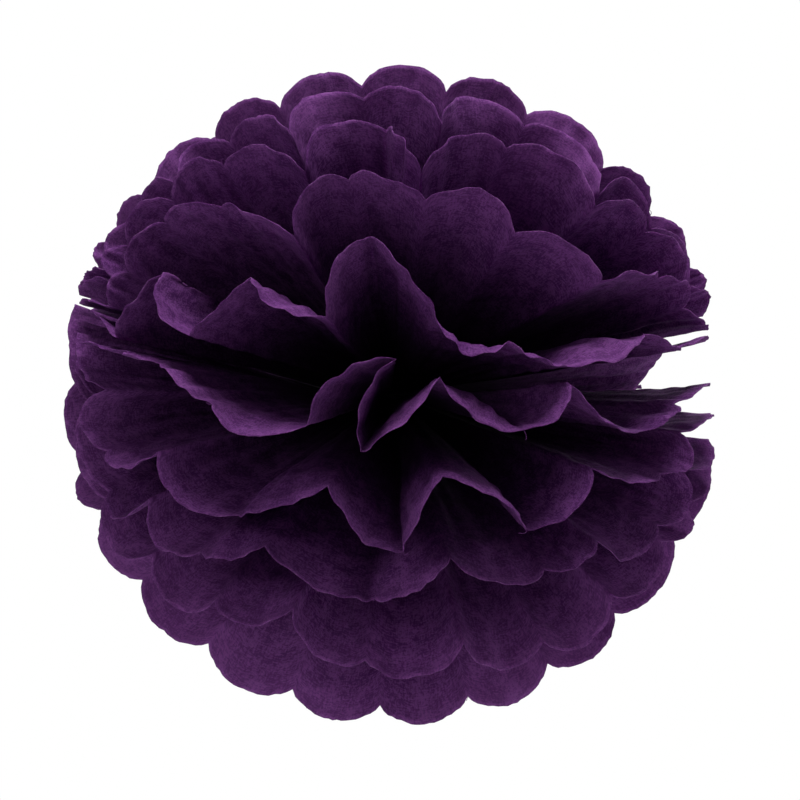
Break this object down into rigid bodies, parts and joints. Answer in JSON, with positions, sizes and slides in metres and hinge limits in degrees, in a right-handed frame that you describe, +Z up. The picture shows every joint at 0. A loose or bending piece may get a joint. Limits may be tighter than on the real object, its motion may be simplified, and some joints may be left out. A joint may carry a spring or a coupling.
{
  "type": "tissue paper pom pom",
  "caption": "Hanging party pom pom: pleated tissue sheets with scalloped ends, tied across the middle and pulled open into a ball.",
  "frame": {"origin": "middle of the tie, at the centre of the ball, where a hanging string is knotted on", "axes": "+Z up as the picture shows it; the open face of the flower looks along -Y and the back flower along +Y; the gathered strip under the wire runs along X"},
  "size_m": [0.2463, 0.2506, 0.2504],
  "materials": {
    "tissue": "matt deep purple tissue",
    "wire": "bare soft steel wire"
  },
  "bodies": {
    "root": {"tissue_sheet_01": "tissue", "tissue_sheet_02": "tissue", "tissue_sheet_03": "tissue", "tissue_sheet_04": "tissue", "tissue_sheet_05": "tissue", "tissue_sheet_06": "tissue", "tissue_sheet_07": "tissue", "tissue_sheet_08": "tissue", "tissue_sheet_09": "tissue", "tissue_sheet_10": "tissue", "tie_wire": "wire"}
  },
  "joints": []
}
